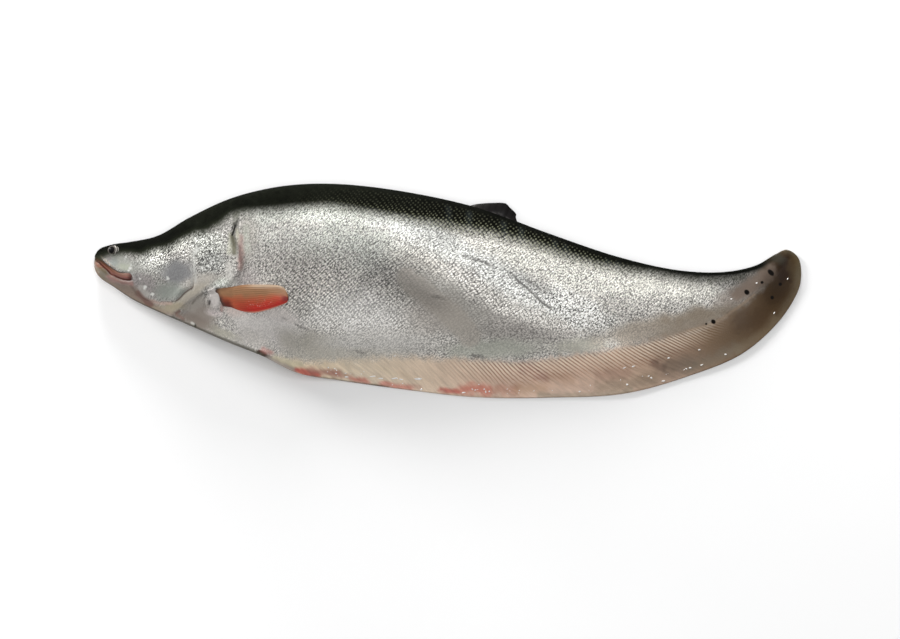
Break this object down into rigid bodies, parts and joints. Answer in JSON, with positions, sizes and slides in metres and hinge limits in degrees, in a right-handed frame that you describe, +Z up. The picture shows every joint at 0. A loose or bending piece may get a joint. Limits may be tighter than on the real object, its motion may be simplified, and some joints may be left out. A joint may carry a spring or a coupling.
{
  "type": "whole raw knifefish",
  "caption": "Whole raw featherback knifefish lying on its side: silver flank, dark humped back, orange pectoral fin and one long ribbon fin along belly and tail.",
  "frame": {"origin": "on the surface the fish lies on, under the middle of its outline's box", "axes": "+X from snout to tail, +Y from belly to back, +Z up from the surface to the left flank"},
  "size_m": [0.6996, 0.2118, 0.0549],
  "materials": {
    "skin": "wet silver skin with fine scales, greenish black along the back, pink to brown on the ribbon fin",
    "pectoral_fin": "wet, half-clear fin membrane, tan above and blood red below",
    "dorsal_fin": "wet, dark fin membrane with rays",
    "eye": "glossy, black pupil in a silver ring"
  },
  "bodies": {
    "root": {"fish": "skin"}
  },
  "joints": []
}
